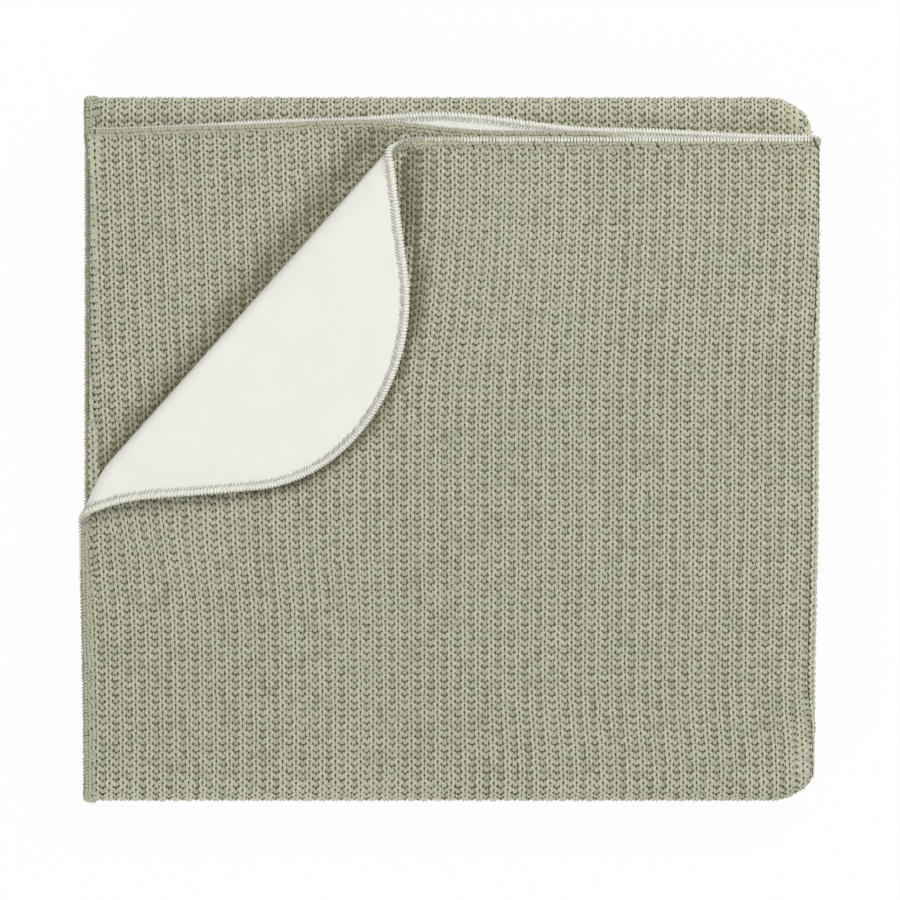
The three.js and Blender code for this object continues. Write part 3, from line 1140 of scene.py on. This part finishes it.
def buildBumps(shape, inset):
    # two bumps of the overedge yarn, side by side
    near = [(0.1, -0.5, 0.7), (0.8, -0.15, 1.45), (1.5, 0.15, 1.3), (2.2, 0.4, 0.7)]
    far = [(1.7, 0.35, 0.7), (2.4, 0.65, 1.4), (3.1, 0.95, 1.3), (3.8, 1.2, 0.5)]
    for path in (near, far):
        strand(shape, [(x + inset, y, z) for x, y, z in path], (1.7, 1.6), (1.2, 1.1), 4)


def buildOuterStrand(shape):
    buildBumps(shape, 0)


def buildInnerStrand(shape):
    buildBumps(shape, 1.5)


def buildNeedleDot(shape):
    path = [(1.7, -0.75, -1.65), (2.3, -0.3, -1.95), (3.2, 0.35, -1.9), (3.9, 0.8, -1.65)]
    strand(shape, path, (0.36, 0.42), (0.4, 0.4), 4)


edgeShapes = shapeCollection(
    "overlock shapes",
    {
        "a short loop": buildShortLoop,
        "b long loop": buildLongLoop,
        "c outer strand": buildOuterStrand,
        "d inner strand": buildInnerStrand,
        "e needle dot": buildNeedleDot,
    },
)
shortLoop, longLoop, outerStrand, innerStrand, needleDot = range(5)


def edgePoints(u, v, inU, inV, shape, chance):
    step = 0.4
    sideU, sideV = -inV, inU
    place = foldedPoint(u, v, 0.0)
    inward = foldedPoint(u + inU * step, v + inV * step, 0.0) - place
    along = foldedPoint(u + sideU * step, v + sideV * step, 0.0)
    along -= foldedPoint(u - sideU * step, v - sideV * step, 0.0)
    along /= np.linalg.norm(along, axis=1)[:, None]
    normal = np.cross(inward, along)
    normal /= np.linalg.norm(normal, axis=1)[:, None]
    count = len(u)
    return {
        "place": place,
        "clothNormal": normal,
        "clothAlong": along,
        "clothStretch": np.ones((count, 3)),
        "shape": shape,
        "tone": np.clip(chance.normal(overlock["tone"], overlock["toneUnevenness"], count), 0, 1),
    }


u, v, inU, inV = edgePath(overlock["spacing"])
atTail = (v > cloth["length"] - edgeRuns["hiddenBand"]) & (np.abs(placeAcross(u)[0]) < edgeRuns["hiddenX"])
endwards = np.minimum(v, cloth["length"] - v)
atInner = (u < edgeRuns["hiddenBand"]) & (endwards > edgeRuns["hiddenRows"])
hidden = atTail | atInner
u, v, inU, inV = (values[~hidden] for values in (u, v, inU, inV))
foldPlace = outerStart + rightBendX
topEdge = (u > outerStart) & (u < foldPlace + edgeRuns["topPastFold"]) & (v < edgeRuns["topRows"])
nearTip = (u > foldPlace - edgeRuns["tipColumns"]) & (v < edgeRuns["tipRows"])
leftEdge = u > cloth["width"] - edgeRuns["leftColumns"]
yarnEdge = leftEdge & (v > edgeRuns["whiteRows"])  # here the loops are of the knit's colour
everywhere = np.full(len(u), True)
threads = {  # each thread's settings and finish, and where it takes which shape
    "overlockWhite": (overlock, whiteThread, [(~yarnEdge, np.where(topEdge, longLoop, shortLoop))]),
    "overlockOlive": (
        oliveOverlock,
        oliveThread,
        [
            (yarnEdge, shortLoop),
            (nearTip | ~topEdge, outerStrand),
            (topEdge | nearTip | leftEdge, innerStrand),
        ],
    ),
    "needleThread": (overlock, markThread, [(everywhere, needleDot)]),
}
chance = np.random.default_rng(overlock["toneSeed"])
overlockPieces = []
for name, (settings, finish, rounds) in threads.items():
    rows = [np.concatenate([values[chosen] for chosen, _ in rounds]) for values in (u, v, inU, inV)]
    shapes = np.concatenate([np.broadcast_to(kind, len(u))[chosen] for chosen, kind in rounds])
    overlockPieces.append(stitchPiece(name, edgePoints(*rows, shapes, chance), settings, edgeShapes, finish))

for collection in (cellShapes, edgeShapes):
    for piece in list(collection.objects):
        bpy.data.objects.remove(piece)
    bpy.data.collections.remove(collection)

# ---- floor and light

studio = {
    "skyStrength": 0.51,
    "lampSize": 1.2,
    "lamps": {"key": (30, (1.1, 1.3, 1.5)), "fill": (20, (-1.1, -1.7, 0.6))},  # watts and place
    "floorSize": 60,
    "floorZ": -0.9 * mm,
    "floorGrey": 0.93,
    "floorWhite": 0.96,
}


def seenStraight(tree):
    # 1 for what the camera or a reflection sees, 0 for what only lights the object
    path = tree.nodes.new("ShaderNodeLightPath")
    seen = tree.nodes.new("ShaderNodeMath")
    seen.operation = "MAXIMUM"
    tree.links.new(path.outputs["Is Camera Ray"], seen.inputs[0])
    tree.links.new(path.outputs["Is Glossy Ray"], seen.inputs[1])
    return seen.outputs[0]


def mixShaders(tree, factor, first, second, outputKind):
    mixed = tree.nodes.new("ShaderNodeMixShader")
    tree.links.new(factor, mixed.inputs[0])
    tree.links.new(first.outputs[0], mixed.inputs[1])
    tree.links.new(second.outputs[0], mixed.inputs[2])
    output = tree.nodes.new(outputKind)
    tree.links.new(mixed.outputs[0], output.inputs["Surface"])


floorMesh = bpy.data.meshes.new("floor")
half = studio["floorSize"] / 2
corners = ((-half, -half), (half, -half), (half, half), (-half, half))
floorMesh.from_pydata([(x, y, studio["floorZ"]) for x, y in corners], [], [(0, 1, 2, 3)])
floor = addObject("floor", floorMesh)
floorMaterial = bpy.data.materials.new("floor")
floorMaterial.use_nodes = True
tree = floorMaterial.node_tree
tree.nodes.clear()
plain = tree.nodes.new("ShaderNodeBsdfDiffuse")
plain.inputs["Color"].default_value = (studio["floorGrey"], studio["floorGrey"], studio["floorGrey"], 1)
white = tree.nodes.new("ShaderNodeEmission")
white.inputs["Color"].default_value = (1, 1, 1, 1)
share = tree.nodes.new("ShaderNodeMath")
share.operation = "MULTIPLY"
share.inputs[1].default_value = studio["floorWhite"]
tree.links.new(seenStraight(tree), share.inputs[0])
mixShaders(tree, share.outputs[0], plain, white, "ShaderNodeOutputMaterial")
floorMesh.materials.append(floorMaterial)

world = bpy.data.worlds.new("studio")
bpy.context.scene.world = world
world.use_nodes = True
tree = world.node_tree
tree.nodes.clear()
sky = tree.nodes.new("ShaderNodeBackground")
sky.inputs["Strength"].default_value = studio["skyStrength"]
backdrop = tree.nodes.new("ShaderNodeBackground")
for node in (sky, backdrop):
    node.inputs["Color"].default_value = (1, 1, 1, 1)
mixShaders(tree, seenStraight(tree), sky, backdrop, "ShaderNodeOutputWorld")

for name, (power, lampPlace) in studio["lamps"].items():
    lampData = bpy.data.lights.new(name, "AREA")
    lampData.energy = power
    lampData.size = studio["lampSize"]
    lamp = bpy.data.objects.new(name, lampData)
    bpy.context.scene.collection.objects.link(lamp)
    lamp.location = lampPlace
    lamp.rotation_euler = (-lamp.location).to_track_quat("-Z", "Y").to_euler()
    lamp.visible_camera = False
bpy.context.scene.view_settings.view_transform = "Standard"
print("floor and light made")

# ---- the frame

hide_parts("knit_face")
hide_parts("jersey_lining")
for piece in (knitGround, *stitchPieces):
    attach(piece, "root")
for piece in (lining, *overlockPieces):
    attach(piece, "root")
